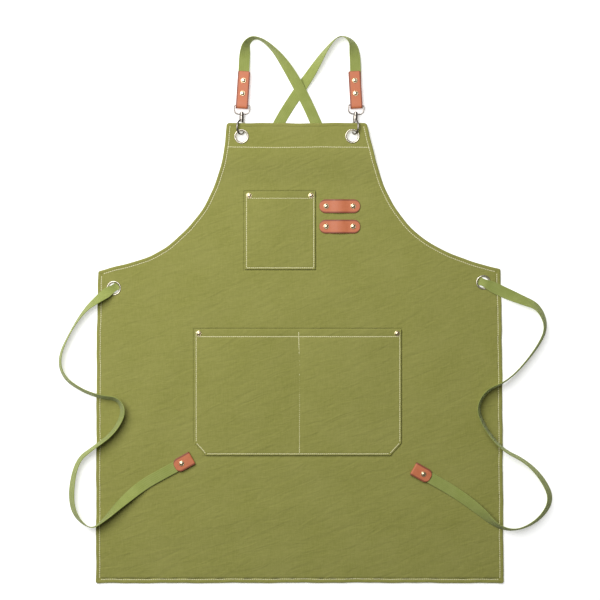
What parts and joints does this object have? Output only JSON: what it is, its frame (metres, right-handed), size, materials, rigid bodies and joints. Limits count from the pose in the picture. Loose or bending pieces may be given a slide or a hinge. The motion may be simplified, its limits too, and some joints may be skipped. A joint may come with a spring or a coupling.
{
  "type": "cross-back canvas apron",
  "caption": "Canvas bib apron laid flat, with chest and waist pockets, leather loops and cross-back webbing straps that end in leather tabs and clip on with swivel snap hooks.",
  "frame": {"origin": "on the surface the apron lies on, under the middle of the apron and its strap clips, measured without the free straps", "axes": "+X to the right with the apron seen from its front, +Y up the apron towards the bib, +Z out of its front"},
  "size_m": [0.8436, 0.9445, 0.0225],
  "materials": {
    "canvas": "matte cotton canvas, plain weave",
    "webbing": "matte cotton webbing, ribbed weave",
    "leather": "smooth tan leather, cut edges",
    "thread": "twisted polyester thread",
    "nickel": "nickel plate, polished",
    "steel": "bright steel",
    "rivet_brass": "pale brass plate, polished"
  },
  "bodies": {
    "root": {"apron_panel": "canvas", "bib_facing": "canvas", "chest_pocket": "canvas", "lower_pocket": "canvas", "upper_loop": "leather", "lower_loop": "leather", "bib_eyelets": "nickel", "bib_eyelet_washers": "nickel", "side_eyelets": "nickel", "side_eyelet_washers": "nickel", "pocket_rivets": "rivet_brass", "pocket_rivet_backs": "rivet_brass", "loop_rivets": "rivet_brass", "loop_rivet_backs": "rivet_brass", "strap_tab_rivets": "rivet_brass", "strap_tab_rivet_backs": "rivet_brass", "left_strap_tab": "leather", "right_strap_tab": "leather", "left_webbing": "webbing", "right_webbing": "webbing", "left_end_tab": "leather", "right_end_tab": "leather", "left_end_rivet": "rivet_brass", "left_end_rivet_back": "rivet_brass", "right_end_rivet": "rivet_brass", "right_end_rivet_back": "rivet_brass", "hem_stitching": "thread", "facing_stitching": "thread", "chest_pocket_stitching": "thread", "lower_pocket_stitching": "thread"},
    "left_loop": {"left_d_loop": "nickel"},
    "left_hook": {"left_hook_body": "nickel", "left_swivel_post": "nickel", "left_gate_pin": "steel", "left_gate_spring": "steel"},
    "left_latch": {"left_gate": "nickel"},
    "right_loop": {"right_d_loop": "nickel"},
    "right_hook": {"right_hook_body": "nickel", "right_swivel_post": "nickel", "right_gate_pin": "steel", "right_gate_spring": "steel"},
    "right_latch": {"right_gate": "nickel"}
  },
  "joints": [
    {"name": "left_loop_hinge", "type": "hinge", "parent": "root", "child": "left_loop", "pos_m": [-0.0974, 0.382, 0.007], "axis": [0.9998, -0.0175, 0], "range_deg": [-4, 0]},
    {"name": "left_swivel", "type": "hinge", "parent": "left_loop", "child": "left_hook", "pos_m": [-0.09766, 0.3674, 0.007], "axis": [0.0175, 0.9998, 0], "range_deg": [0, 75]},
    {"name": "left_gate_hinge", "type": "hinge", "parent": "left_hook", "child": "left_latch", "pos_m": [-0.09577, 0.35737, 0.00455], "axis": [-0.7659, 0.0134, -0.6428], "range_deg": [0, 15], "stiffness_Nm_per_rad": 0.02, "springref_deg": -45.84, "deforming": ["left_gate_spring"]},
    {"name": "right_loop_hinge", "type": "hinge", "parent": "root", "child": "right_loop", "pos_m": [0.0993, 0.382, 0.007], "axis": [0.9972, -0.075, 0], "range_deg": [-4, 0]},
    {"name": "right_swivel", "type": "hinge", "parent": "right_loop", "child": "right_hook", "pos_m": [0.09821, 0.36744, 0.007], "axis": [0.075, 0.9972, 0], "range_deg": [-65, 0]},
    {"name": "right_gate_hinge", "type": "hinge", "parent": "right_hook", "child": "right_latch", "pos_m": [0.09586, 0.35759, 0.00423], "axis": [-0.8636, 0.0649, 0.5], "range_deg": [0, 15], "stiffness_Nm_per_rad": 0.02, "springref_deg": -45.84, "deforming": ["right_gate_spring"]}
  ]
}
